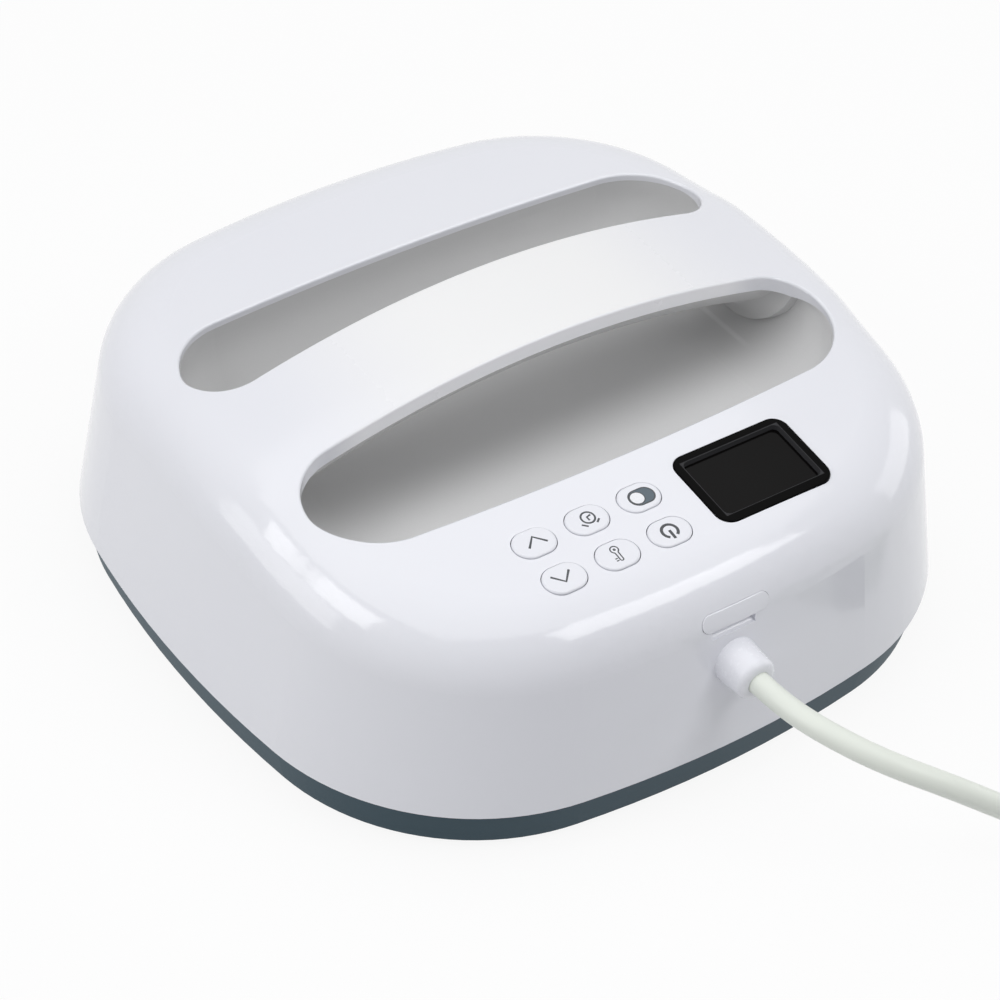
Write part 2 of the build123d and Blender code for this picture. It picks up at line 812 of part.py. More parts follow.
def make_fuse(level):
    x, y = fuse_place
    tube = Pos(x, y, level + fuse_level) * Rot(0, 90, 0) * Cylinder(fuse_diameter / 2, fuse_length)
    reach = fuse_length / 2 - 2
    clips = [block(x + a, y, level, 5, 7, 6) for a in (-reach, reach)]
    return tube + clips


def make_terminals(level):
    ways = block(0, terminal_y, level, 4 * wire_pitch, terminal_depth, terminal_height)
    ways = chamfer(ways.edges().group_by(Axis.Z)[-1].filter_by(Axis.X), 1.5)
    for x in wire_ways():
        hole = Cylinder(wire_diameter / 2 + 0.1, 8)
        ways -= Pos(x, terminal_y + 3, terminal_level) * Rot(90, 0, 0) * hole
        ways -= column(x, terminal_y - 1, level + terminal_height - 3, level + terminal_height + 1, 3.6)
    return ways


def wire_ways():
    return [(i - 1.5) * wire_pitch for i in range(4)]


def wire(points, bend, diameter=wire_diameter):
    path = FilletPolyline(*points, radius=bend)
    return sweep(Plane(path @ 0, z_dir=path % 0) * Circle(diameter / 2), path=path)


def make_element_leads():
    leads = []
    for end in (-1, 1):
        x = end * element_end
        points = [(x, element_front, element_height + pin_rise), (x, element_front, terminal_level)]
        leads.append(wire([*points, (x, terminal_y + 1, terminal_level)], 3))
    return leads


def make_conductors():
    wires = []
    for end in (-1, 1):
        x = end * 2.2
        way = end * 0.5 * wire_pitch
        points = [(x, sheath_end, inlet_height), (x, sheath_end - 12, inlet_height)]
        points += [(way, terminal_y + 18, terminal_level), (way, terminal_y + 1, terminal_level)]
        wires.append(wire(points, 8))
    earth_y = earth_place[1]
    tag_top = shield_level + shield_sheet + 1
    points = [(0, sheath_end, inlet_height - 2.2), (0, sheath_end - 5, inlet_height - 2.2)]
    points += [(0, earth_y + 5, tag_top + 4), (0, earth_y + 4.2, tag_top)]
    wires.append(wire(points, 2, 2))
    return wires


def make_sensor_leads():
    leads = []
    x, y = cutout_place
    top = plate_thickness + cutout_height + 5
    for a in (x - cutout_tab, x + cutout_tab):
        points = [(a, y, top + 1), (a, y, top + 4), (a + 14, y, top + 4), (a + 14, y, power_level)]
        leads.append(wire(points, 1.5, sensor_wire))
    u, v = probe_place
    level = plate_thickness + probe_diameter / 2 + 0.6
    points = [(u - 7, v, level), (u - 10, v, level), (u - 10, v, level + 14)]
    points += [(u - 14, v, level + 14), (u - 14, v, power_level)]
    leads.append(wire(points, 1.5, sensor_wire))
    return leads


def make_ribbon(level):
    x = ribbon_x
    top = panel.origin.Z - board_depth - board_thickness + (panel_y - ribbon_y) * tan(tilt)
    points = [(x, ribbon_y, top - 4), (x, ribbon_y, ribbon_level)]
    points += [(x, ribbon_foot, ribbon_level), (x, ribbon_foot, level + 3)]
    path = FilletPolyline(*points, radius=5)
    start = Plane(path @ 0, z_dir=path % 0, x_dir=(1, 0, 0))
    strip = sweep(start * Rectangle(ribbon_width, ribbon_sheet), path=path)
    foot = block(x, ribbon_foot, level, ribbon_width + 3, 5, 5)
    head = on_panel(block(0, 0, -5, ribbon_width + 3, 5, 5), x, ribbon_y, board_depth + board_thickness)
    return [strip - foot - head, foot, head]


# Cord and what is on it


def make_gland(outer):
    length = gland_reach - gland_inner_face
    outside = Cone(gland_base / 2, gland_end / 2, length, align=(Align.CENTER, Align.CENTER, Align.MIN))
    outside = fillet(outside.edges().group_by(Axis.Z)[-1], gland_round)
    outside = along_cord_axis(outside, gland_inner_face) - outer
    flange = extrude(Circle(gland_flange / 2), amount=gland_flange_thickness)
    stem = extrude(Circle(gland_stem / 2), amount=length - 4)
    gland = outside + along_cord_axis(flange + stem, gland_inner_face)
    bore = Cylinder(cord_radius + gland_bore_gap, 60)
    return gland - along_cord_axis(bore, half_width)


def make_cord_inlet():
    sheath = Cylinder(cord_radius, gland_reach - sheath_end, align=(Align.CENTER, Align.CENTER, Align.MIN))
    return along_cord_axis(sheath, sheath_end)


def make_clamp():
    low = inlet_height - clamp_bar_height
    bar = block(0, clamp_y, low, 2 * clamp_half_length, clamp_thickness + 4, clamp_bar_height - 0.6)
    bar = fillet(bar.edges().filter_by(Axis.Y).sort_by(Axis.Z)[:2], 2.5)
    bar -= along_cord_axis(Cylinder(cord_radius, 30), clamp_y)
    for x in (-clamp_screw_offset, clamp_screw_offset):
        bar -= column(x, clamp_y, 0, 60, screw_diameter + 0.4)
    return bar


def make_rear_plug(outer):
    head = plug_shape(0, clamp_y + clamp_thickness + 1, half_width)
    head &= body_form(-plug_proud) - body_form(plug_depth)
    rim = [edge for edge in head.edges() if edge.center().Y > rear_face(edge.center().Z)]
    return fillet(rim, 0.8 * plug_proud)


# The cord's free stretch leaves the gland, drops to the table and meets the coil


def free_path():
    points = [Vector(*point) for point in free_route]
    runs = [(b - a).length for a, b in zip(points, points[1:])]
    radii = []
    for before, after, start, corner, end in zip(runs, runs[1:], points, points[1:], points[2:]):
        half_turn = radians((corner - start).get_angle(end - corner)) / 2
        radii.append(0.45 * min(before, after) / tan(half_turn))
    print("cord runs", [round(run, 1) for run in runs], "radii", [round(radius) for radius in radii])
    return FilletPolyline(*points, radius=radii)


def coil_path(length):
    start = Vector(*free_route[-1])
    ahead = (start - Vector(*free_route[-2])).normalized()
    aside = Vector(-ahead.Y, ahead.X, 0)
    turns = length - cord_diameter - coil_tail
    widest = (turns / pi + 18 * coil_pitch) / 12
    entry = start + ahead * cord_diameter
    centre = entry + aside * widest
    edges = [Line(start, entry)]
    here, facing = entry, 1
    steps = list(range(6)) + [6] + list(range(5, 0, -1))
    for step in steps:
        reach = widest - step * coil_pitch / 2
        there = here + aside * (2 * reach * facing)
        if step == 6:
            there += Vector(0, 0, coil_layer)
            middle = (here + there) / 2 + ahead * (facing * (there - here).length / 2)
            edges.append(TangentArc(here, middle, tangent=ahead * facing))
            edges.append(TangentArc(middle, there, tangent=there - here))
        else:
            edges.append(ThreePointArc(here, (here + there) / 2 + ahead * (facing * reach), there))
        here, facing = there, -facing
    edges.append(Line(here, here + ahead * coil_tail))
    return Wire(edges), centre, here + ahead * coil_tail, ahead, widest


def least_gap(path, count=2400):
    points = [path @ (i / count) for i in range(count + 1)]
    step = path.length / count
    apart = int(3 * cord_diameter / step)
    gap = 1e9
    for i, point in enumerate(points[::4]):
        for other in points[4 * i + apart::2]:
            gap = min(gap, (other - point).length)
    return gap - cord_diameter


def make_tie(centre, ahead, widest):
    high = free_route[-1][2] + coil_layer + cord_radius + tie_gap
    low = free_route[-1][2] - cord_radius - tie_gap
    near = widest - 2.5 * coil_pitch - cord_radius - tie_slack
    far = widest - 0.5 * coil_pitch + cord_radius + tie_slack
    middle = Pos((near + far) / 2, (low + high) / 2)
    across, up = far - near, high - low
    bundle = middle * RectangleRounded(across, up, cord_radius)
    band = middle * RectangleRounded(across + 2 * tie_sheet, up + 2 * tie_sheet, cord_radius + tie_sheet)
    heading = degrees(atan2(-ahead.Y, -ahead.X))
    spread = degrees(tie_width / ((near + far) / 2))
    ring = revolve(Plane.XZ * (band - bundle), Axis.Z, spread)
    return Pos(centre.X, centre.Y, 0) * Rot(0, 0, heading - spread / 2) * ring


def plug_plane(place, ahead):
    return Plane(origin=place, x_dir=(-ahead.Y, ahead.X, 0), z_dir=ahead)


def make_mains_plug(place, ahead):
    standing = (Align.CENTER, Align.CENTER, Align.MIN)
    relief = Cone(relief_start / 2, relief_end / 2, relief_length, align=standing)
    for step in range(4):
        groove = Cylinder(relief_end, 1.2) - Cylinder(relief_start / 2 - 0.6 + 0.25 * step, 1.2)
        relief -= Pos(0, 0, 5 + 4.5 * step) * groove
    narrow = RectangleRounded(relief_end + 2, relief_end + 2, 6)
    wide = RectangleRounded(mains_body, mains_body, 9)
    neck = loft([Pos(0, 0, relief_length - 2) * narrow, Pos(0, 0, relief_length + 12) * wide])
    body = Pos(0, 0, relief_length + 12) * extrude(wide, amount=mains_length - 14)
    body = relief + neck + fillet(body.edges().group_by(Axis.Z)[-1], 1.5)
    sockets = [plug_pin(x, v, shape, 0.02) for x, v, shape in pin_places()]
    return plug_plane(place, ahead).location * (body - sockets)


def pin_places():
    return [(-pin_spacing / 2, 4, "blade"), (pin_spacing / 2, 4, "blade"), (0, 4 - ground_drop, "round")]


def plug_pin(x, v, shape, grow):
    face = relief_length + mains_length - 2
    reach = pin_length + (3 if shape == "round" else 0)
    outline = Circle(2.4 + grow) if shape == "round" else Rectangle(1.5 + 2 * grow, 6.3 + 2 * grow)
    return Pos(x, v, face - 5 - grow) * extrude(outline, amount=reach + 5)


def make_pins(place, ahead):
    pins = [plug_pin(x, v, shape, 0) for x, v, shape in pin_places()]
    pins = [chamfer(pin.edges().group_by(Axis.Z)[-1], 0.5) for pin in pins]
    return [plug_plane(place, ahead).location * pin for pin in pins]


def save_cord():
    free = free_path()
    save("mains_cord", sweep(Plane(free @ 0, z_dir=free % 0) * Circle(cord_radius), path=free))
    coil, centre, end, ahead, widest = coil_path(cord_length - free.length)
    print("cord length", round(free.length + coil.length), "coil width", round(2 * widest + cord_diameter))
    print("least gap in the coil", round(least_gap(coil), 2))
    save("cord_coil", sweep(Plane(coil @ 0, z_dir=coil % 0) * Circle(cord_radius), path=coil))
    save("cord_tie", make_tie(centre, ahead, widest))
    save("plug_body", make_mains_plug(end, ahead))
    save("plug_pins", make_pins(end, ahead))


def main():
    outer, shell = make_cover_wall()
    save("top_cover", make_top_cover(outer, shell))
    cavity = tub_block(0, case_top)
    save("grip_tub", make_tub(cavity))
    save("handle_grip", make_grip(cavity))
    grip_screw = Pos(0, 0, -grip_boss - wall - grip_screw_wall) * Rot(180, 0, 0) * screw(9)
    save("grip_screws", [on_arch(grip_screw, x) for x in (-grip_screw_x, grip_screw_x)])
    tub_screws = []
    for x, y in tub_screw_places():
        level = dome_height(x, y) - tub_lug_depth - lug_thickness
        tub_screws.append(Pos(x, y, level) * Rot(180, 0, 0) * screw(7))
    save("tub_screws", tub_screws)

    save("base_cover", make_base())
    case_screw = Pos(0, 0, floor_level) * Rot(180, 0, 0) * screw(22)
    save("case_screws", [Pos(x, y, 0) * case_screw for x, y in case_screw_places()])
    save("heat_plate", make_plate())
    save("heating_element", make_element())
    save("insulation_mat", make_mat())
    save("heat_shield", make_shield())
    save("element_bushes", [make_bush(x) for x in (-element_end, element_end)])
    top = shield_level + shield_sheet
    spacers = [column(x, y, plate_thickness, shield_level, spacer_diameter)
               - column(x, y, 0, top, screw_diameter + 0.4) for x, y in spacer_places]
    save("shield_spacers", spacers)
    save("spacer_screws", [Pos(x, y, top) * screw(top - plate_thickness + 5.5) for x, y in spacer_places])
    flange_top = ledge_level + shield_sheet
    save("flange_screws", [Pos(x, y, flange_top) * screw(3.4) for x, y in flange_screw_places()])
    save("thermal_cutout", make_cutout())
    save("temperature_probe", make_probe())
    save("sensor_screws", [Pos(x, y, plate_thickness + 1) * screw(5) for x, y in sensor_screw_places()[2:]]
         + [Pos(x, y, plate_thickness + 0.8) * screw(5) for x, y in sensor_screw_places()[:2]])
    tag = extrude(Pos(0, 1.5) * SlotOverall(12, 7, rotation=90), amount=0.8)
    save("earth_tag", Pos(*earth_place, top) * tag - column(*earth_place, 0, 40, screw_diameter + 0.3))
    save("earth_screw", Pos(*earth_place, top + 0.8) * screw(3))

    level = power_level + board_thickness
    save("power_board", make_power_board())
    save("power_screws", [Pos(x, y, power_level) * Rot(180, 0, 0) * screw(8) for x, y in power_posts()])
    relay = block(*relay_place, level, *relay_size)
    save("relay", chamfer(relay.edges().group_by(Axis.Z)[-1], 0.6))
    save("transformer", make_transformer(level))
    save("capacitors", make_capacitors(level))
    save("fuse", make_fuse(level))
    save("terminal_block", make_terminals(level))
    save("ribbon_cable", make_ribbon(level))
    save("element_leads", make_element_leads())
    save("conductors", make_conductors())
    save("sensor_leads", make_sensor_leads())

    save("display_bezel", make_bezel())
    save("display_window", make_window())
    save("lcd_module", make_lcd())
    switches = []
    for name, x, y in key_places():
        save(name, make_key(x, y))
        save(name.replace("key", "plunger"), make_plunger(x, y))
        switches.append(make_switch(x, y))
    save("switch_bodies", switches)
    save("control_board", make_control_board())
    under_board = board_depth + board_thickness
    panel_screw = Rot(180, 0, 0) * screw(6)
    places = [(x, panel_y + v * cos(tilt)) for x, v in panel_posts]
    save("panel_screws", [on_panel(panel_screw, x, y, under_board) for x, y in places])
    save("buzzer", make_buzzer())

    save("cord_gland", make_gland(outer))
    save("cord_inlet", make_cord_inlet())
    save("cord_clamp", make_clamp())
    clamp_screw = Pos(0, clamp_y, inlet_height - clamp_bar_height) * Rot(180, 0, 0) * screw(16)
    save("clamp_screws", [Pos(x, 0, 0) * clamp_screw for x in (-clamp_screw_offset, clamp_screw_offset)])
    save("rear_plug", make_rear_plug(outer))
    save_cord()


if __name__ == "__main__":
    main()
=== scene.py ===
import json
import math
import bpy
from mathutils import Matrix, Vector


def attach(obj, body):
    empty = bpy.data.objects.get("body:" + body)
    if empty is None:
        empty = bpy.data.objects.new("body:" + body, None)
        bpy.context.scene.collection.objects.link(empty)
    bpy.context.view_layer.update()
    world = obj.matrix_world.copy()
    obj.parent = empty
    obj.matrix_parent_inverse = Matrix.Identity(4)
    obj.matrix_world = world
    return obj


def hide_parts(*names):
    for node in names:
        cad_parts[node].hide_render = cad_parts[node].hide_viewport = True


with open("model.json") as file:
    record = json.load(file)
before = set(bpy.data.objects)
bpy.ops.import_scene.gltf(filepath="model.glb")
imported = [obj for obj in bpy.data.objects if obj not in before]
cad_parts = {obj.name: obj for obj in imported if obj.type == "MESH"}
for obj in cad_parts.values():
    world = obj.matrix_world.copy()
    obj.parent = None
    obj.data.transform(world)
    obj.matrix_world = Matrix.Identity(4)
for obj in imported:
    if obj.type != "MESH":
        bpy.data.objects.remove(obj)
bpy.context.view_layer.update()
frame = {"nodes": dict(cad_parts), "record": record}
bpy.ops.object.select_all(action="DESELECT")
mm = 0.001


# camera, matched to the photograph
cameraSetup = {
    "azimuth": 143.144,
    "elevation": 40.833,
    "roll": 3.2005,
    "distance": 1.0626,
    "target": (0.02387, 0.03028, 0.056),
    "lens": 117.98,
    "frameWidth": 36,
    "sight": 20,
}


def makeCamera(setup):
    turn, lift, roll = (math.radians(setup[key]) for key in ("azimuth", "elevation", "roll"))
    back = Vector((math.sin(turn) * math.cos(lift), -math.cos(turn) * math.cos(lift), math.sin(lift)))
    right = Vector((0, 0, 1)).cross(back).normalized()
    up = back.cross(right)
    rolledRight = right * math.cos(roll) + up * math.sin(roll)
    rolledUp = up * math.cos(roll) - right * math.sin(roll)
    place = Vector(setup["target"]) + back * setup["distance"]
    bpy.ops.object.camera_add(location=place)
    camera = bpy.context.object
    axes = Matrix((rolledRight, rolledUp, back)).transposed().to_4x4()
    camera.matrix_world = Matrix.Translation(place) @ axes
    camera.data.lens = setup["lens"]
    camera.data.sensor_width = setup["frameWidth"]
    camera.data.clip_end = setup["sight"]
    bpy.context.scene.camera = camera


makeCamera(cameraSetup)
print("camera set")


# shader maths written as expressions
class Wire:
    def __init__(self, graph, socket):
        self.graph = graph
        self.socket = socket

    def maths(self, operation, other=None, clamp=False):
        values = [self] if other is None else [self, other]
        return self.graph.add("Math", {"operation": operation, "use_clamp": clamp}, dict(enumerate(values)))

    def __add__(self, other):
        return self.maths("ADD", other)

    def __sub__(self, other):
        return self.maths("SUBTRACT", other)

    def __mul__(self, other):
        return self.maths("MULTIPLY", other)

    def __rsub__(self, other):
        return self.graph.add("Math", {"operation": "SUBTRACT"}, {0: other, 1: self})

    __radd__ = __add__
    __rmul__ = __mul__

    def size(self):
        return self.maths("ABSOLUTE")

    def step(self, low, high):
        ends = {"Value": self, "From Min": low, "From Max": high}
        return self.graph.add("MapRange", {"interpolation_type": "SMOOTHSTEP"}, ends)

    def fade(self, low, high):
        return 1 - self.step(low, high)


class Finish:
    def __init__(self, name):
        self.material = bpy.data.materials.new(name)
        self.material.use_nodes = True
        self.tree = self.material.node_tree
        self.shader = self.tree.nodes["Principled BSDF"]

    def add(self, kind, settings=None, sockets=None, output=0):
        node = self.tree.nodes.new("ShaderNode" + kind)
        for key, value in (settings or {}).items():
            setattr(node, key, value)
        for key, value in (sockets or {}).items():
            self.plug(node.inputs[key], value)
        return Wire(self, node.outputs[output])

    def plug(self, socket, value):
        if isinstance(value, Wire):
            self.tree.links.new(value.socket, socket)
        else:
            socket.default_value = value

    def place(self):
        return self.add("TexCoord", output="Object")

    def axes(self):
        node = self.add("SeparateXYZ", {}, {0: self.place()}).socket.node
        return [Wire(self, node.outputs[i]) for i in range(3)]

    def noise(self, scale, detail=3.0, rough=0.5, vector=None):
        place = vector or self.place()
        return self.add("TexNoise", {}, {"Vector": place, "Scale": scale, "Detail": detail, "Roughness": rough})

    def stretched(self, scale):
        return self.add("Mapping", {}, {"Vector": self.place(), "Scale": scale})

    def blend(self, amount, first, second):
        return self.add("Mix", {"data_type": "RGBA"}, {0: amount, 6: first, 7: second}, output=2)

    def bump(self, height, strength, distance):
        return self.add("Bump", {}, {"Height": height, "Strength": strength, "Distance": distance})

    def set(self, **sockets):
        for key, value in sockets.items():
            self.plug(self.shader.inputs[key.replace("_", " ")], value)
        return self.material

    def seen(self):
        # 1 for what the camera sees straight, mirrored or through glass
        rays = self.add("LightPath").socket.node.outputs
        kinds = ("Is Camera Ray", "Is Glossy Ray", "Is Transmission Ray")
        straight, mirrored, through = (Wire(self, rays[kind]) for kind in kinds)
        return (straight + mirrored).maths("ADD", through, clamp=True)


def colour(text):
    # six hex digits to the linear values that sockets take
    values = [int(text[i:i + 2], 16) / 255 for i in (0, 2, 4)]
    return [v / 12.92 if v <= 0.04045 else ((v + 0.055) / 1.055) ** 2.4 for v in values] + [1]


def mouldedPlastic(name, tone, roughness, grain, depth, shift=0.04, shine=0.5):
    # moulded plastic: a slow change of tone, fine grain and small changes of gloss
    f = Finish(name)
    base = colour(tone)
    slow = f.noise(scale=9, detail=2)
    darker = [c * (1 - shift) for c in base[:3]] + [1]
    fine = f.noise(grain, detail=4, rough=0.6)
    fineGloss, slowGloss = 0.06, 0.05
    gloss = fine * fineGloss + slow * slowGloss + (roughness - (fineGloss + slowGloss) / 2)
    return f.set(Base_Color=f.blend(slow, base, darker), Roughness=gloss, Specular_IOR_Level=shine,
                 Normal=f.bump(fine, strength=0.25, distance=depth))


shellLook = {
    "tones": ("EAEBF0", "E6E7EE"),
    "handleHighlightTone": "F2F2F2",
    "sideHighlightTone": "FBFBFE",
    "handleLength": (0.025, 0.095),  # from where the satin and the painted highlight start to fade to where they end
    "handleWidth": (0.019, 0.022),
    "handleRise": (0.09, 0.096),
    "sideLength": (0.07, 0.085),
    "sideStart": (0.0195, 0.0201),
    "sideEnd": (0.0208, 0.0214),
    "gloss": 0.12,
    "satin": 0.26,
    "coat": 0.25,
}


def shellFinish(look):
    # white gloss shell, satin along the middle of the handle with a painted highlight that makes it lighter
    # there, and a painted highlight that makes its cut sides a little paler
    f = Finish("whiteShell")
    x, y, z = f.axes()
    across = y.size()
    slow = f.noise(scale=7, detail=2)
    peel = f.noise(scale=420, detail=2, rough=0.4)
    onHandle = x.size().fade(*look["handleLength"]) * across.fade(*look["handleWidth"])
    onHandle = onHandle * z.step(*look["handleRise"])
    # painted highlight: the handle's cut sides are made paler, standing in for light falling on them and the
    # glint along their edges
    sideHighlightMask = x.size().fade(*look["sideLength"])
    sideHighlightMask = sideHighlightMask * across.step(*look["sideStart"]) * across.fade(*look["sideEnd"])
    tone = f.blend(slow, *(colour(t) for t in look["tones"]))
    # painted highlight: the handle's middle is made lighter, standing in for the lamp's sheen on the satin
    tone = f.blend(onHandle, tone, colour(look["handleHighlightTone"]))
    tone = f.blend(sideHighlightMask, tone, colour(look["sideHighlightTone"]))
    gloss = onHandle * look["satin"] + peel * 0.03 + look["gloss"]
    coat = look["coat"] - onHandle * look["coat"]
    return f.set(Base_Color=tone, Roughness=gloss, Coat_Weight=coat, Coat_Roughness=0.06,
                 Normal=f.bump(peel, strength=0.04, distance=0.00003))


gripLook = {
    "tones": ("E0E0E0", "D9D9D9"),
    "farShadeTone": "CFCFCF",
    "underHandleShadeTone": "A3A3A3",
    "sparkTone": "9F9F9F",
    "creaseHighlightTone": "E6E6E6",
    "farShadeSpan": (-0.02, 0.01),
    "underHandle": (0.006, 0.034),
    "creasePlace": -0.0884,
    "creaseWidth": (0.0002, 0.0012),
    "creaseStart": (-0.014, -0.006),
    "creaseEnd": (0.01, 0.019),
}


def gripFinish(look):
    # grey finger tub with a fine spark texture; painted shade darkens it under the handle and on its far half
    f = Finish("greyGrip")
    x, y = f.axes()[:2]
    spark = f.noise(scale=2600, detail=2, rough=0.7)
    slow = f.noise(scale=12, detail=2)
    # painted shade: the floor under the handle is darkened where the handle shades it
    under = y.size().fade(*look["underHandle"])
    # a faint pale line crosses the floor near one end: a painted highlight on the crease where the floor meets
    # the end wall's ramp
    mark = (x - look["creasePlace"]).size().fade(*look["creaseWidth"])
    mark = mark * y.step(*look["creaseStart"]) * y.fade(*look["creaseEnd"])
    tone = f.blend(slow, *(colour(t) for t in look["tones"]))
    # painted shade: the far half of the tub is darkened, as if it lay in shade
    tone = f.blend(y.fade(*look["farShadeSpan"]), tone, colour(look["farShadeTone"]))
    tone = f.blend(under * 0.6, tone, colour(look["underHandleShadeTone"]))
    # painted highlight along that crease
    tone = f.blend(mark * 0.28, tone, colour(look["creaseHighlightTone"]))
    tone = f.blend(spark * 0.12, tone, colour(look["sparkTone"]))
    return f.set(Base_Color=tone, Roughness=spark * 0.1 + 0.52, Specular_IOR_Level=0.35,
                 Normal=f.bump(spark, strength=0.3, distance=0.00006))


def metal(name, tone, roughness, stretch, depth=0.00002):
    # rolled or turned metal: fine lines along one way
    f = Finish(name)
    lines = f.noise(scale=1, detail=3, rough=0.6, vector=f.stretched(stretch))
    slow = f.noise(scale=30, detail=3)
    base = colour(tone)
    dull = [c * 0.8 for c in base[:3]] + [1]
    lineGloss = 0.16
    return f.set(Base_Color=f.blend(slow, base, dull), Metallic=1.0,
                 Roughness=lines * lineGloss + (roughness - lineGloss / 2),
                 Normal=f.bump(lines, strength=0.3, distance=depth))


def boardFinish():
    # green circuit board with copper tracks under the mask
    f = Finish("boardGreen")
    cells = f.add("TexVoronoi", {"feature": "DISTANCE_TO_EDGE"}, {"Vector": f.place(), "Scale": 260.0})
    tracks = cells.step(0.05, 0.09)
    tone = f.blend(tracks, colour("4B8A5C"), colour("2C6A42"))
    return f.set(Base_Color=tone, Roughness=tracks * 0.1 + 0.25,
                 Normal=f.bump(tracks, strength=0.3, distance=0.00005))


def matFinish():
    # pressed fibre mat
    f = Finish("matFibre")
    fibres = f.noise(scale=1, detail=5, rough=0.7, vector=f.stretched((900, 240, 900)))
    return f.set(Base_Color=f.blend(fibres, colour("E2DCCC"), colour("BDB5A2")), Roughness=0.92,
                 Normal=f.bump(fibres, strength=0.8, distance=0.0004), Sheen_Weight=0.2)


def glassFinish(name, tone, roughness):
    f = Finish(name)
    haze = f.noise(scale=60, detail=3)
    return f.set(Base_Color=colour(tone), Roughness=haze * 0.05 + roughness, Specular_IOR_Level=0.055)


bezelLook = {
    "middle": (-0.0324, 0.0868),
    "reach": (0.01925, 0.0123),  # from the middle to the frame's inner edge
    "edge": (0.0001, 0.0004),
    "stepTone": "3A3A3C",
    "frameTone": "040404",
}


def bezelFinish(look):
    # black frame, a little lighter on the step down to the window
    f = Finish("displayBlack")
    x, y = f.axes()[:2]
    (middleX, middleY), (reachX, reachY) = look["middle"], look["reach"]
    across = (x - middleX).size() - reachX
    along = (y - middleY).size() - reachY
    frameArea = across.maths("MAXIMUM", along).step(*look["edge"])
    grain = f.noise(scale=300, detail=4, rough=0.6)
    tone = f.blend(frameArea, colour(look["stepTone"]), colour(look["frameTone"]))
    return f.set(Base_Color=tone, Roughness=grain * 0.06 + 0.2, Specular_IOR_Level=0.03,
                 Normal=f.bump(grain, strength=0.25, distance=0.00001))


def strapFinish(weaveScale=4200):
    # woven fabric strap
    f = Finish("tieFabric")
    x, y, z = f.axes()
    weave = ((x + y) * weaveScale).maths("SINE") * (z * weaveScale).maths("SINE")
    threads = weave * 0.5 + 0.5
    return f.set(Base_Color=f.blend(threads, colour("2B2E33"), colour("4A4E55")), Roughness=0.85,
                 Normal=f.bump(threads, strength=0.6, distance=0.0002), Sheen_Weight=0.3)


def cordFinish():
    # soft cord jacket, faintly green, with light scuffs
    f = Finish("cordJacket")
    slow = f.noise(scale=26, detail=3)
    scuff = f.noise(scale=500, detail=3, rough=0.7)
    tone = f.blend(slow, colour("EDF1E9"), colour("E2E7DE"))
    return f.set(Base_Color=tone, Roughness=scuff * 0.12 + 0.36, Coat_Weight=0.1, Coat_Roughness=0.3,
                 Normal=f.bump(scuff, strength=0.12, distance=0.00008))


# name, tone, roughness, then the grain and its depth for a plastic or the lines' stretch for a metal
finishes = {
    "white_shell": shellFinish(shellLook),
    "grey_grip": gripFinish(gripLook),
    "slate_base": mouldedPlastic("slateBase", "2B4450", 0.5, 900, 0.00006, shine=0.25),
    "display_black": bezelFinish(bezelLook),
    "display_glass": glassFinish("displayGlass", "080707", 0.12),
    "key_white": mouldedPlastic("keyWhite", "EBECF2", 0.26, 700, 0.000008, shift=0.02),
    "plate_metal": metal("plateMetal", "8C8F92", 0.42, (90, 700, 90), 0.00004),
    "sheet_steel": metal("sheetSteel", "B4B7B8", 0.34, (40, 900, 40)),
    "screw_steel": metal("screwSteel", "C4C6C8", 0.3, (300, 300, 2400)),
    "element_steel": metal("elementSteel", "6C6A66", 0.5, (300, 300, 300)),
    "ceramic_white": mouldedPlastic("ceramicWhite", "E8E4DA", 0.6, 600, 0.0001),
    "mat_fibre": matFinish(),
    "board_green": boardFinish(),
    "part_black": mouldedPlastic("partBlack", "232427", 0.45, 900, 0.00006),
    "brass_pin": metal("brassPin", "C9A75A", 0.26, (400, 400, 400)),
    "cord_white": cordFinish(),
    "wire_sleeve": mouldedPlastic("wireSleeve", "B8463C", 0.4, 600, 0.00005),
    "tie_fabric": strapFinish(),
}

slotOf = {part["node"]: part["material_slot"] for part in frame["record"]["subparts"]}
for name, node in frame["nodes"].items():
    node.data.materials.clear()
    node.data.materials.append(finishes[slotOf[name]])
print("finishes on", len(frame["nodes"]), "nodes")


# mains cord: the route in metres, then the coil's turns, as one spline
cordRoute = {
    "points": [
        (0, 0.137, 0.0488), (0, 0.147, 0.0488), (-0.0032, 0.1632, 0.0486), (-0.0131, 0.1815, 0.0452),
        (-0.0312, 0.1959, 0.0363), (-0.0509, 0.2042, 0.0218), (-0.0705, 0.213, 0.0096), (-0.0865, 0.2285, 0.0051),
        (-0.102, 0.2435, 0.0051),
    ],
    "length": 1.8,
    "diameter": 0.0078,
    "pitch": 0.0084,
    "layer": 0.0083,
    "tail": 0.024,
    "steps": [*range(7), *range(5, 0, -1)],  # each half turn's distance in from the widest, in half pitches
    "climb": 6,  # the step where the coil goes up to its second layer
    "cornerGain": 0.004,  # what the route's curve saves on its straight points
    "pointsInTurn": 16,
    "roundness": 6,
    "smoothness": 8,
}


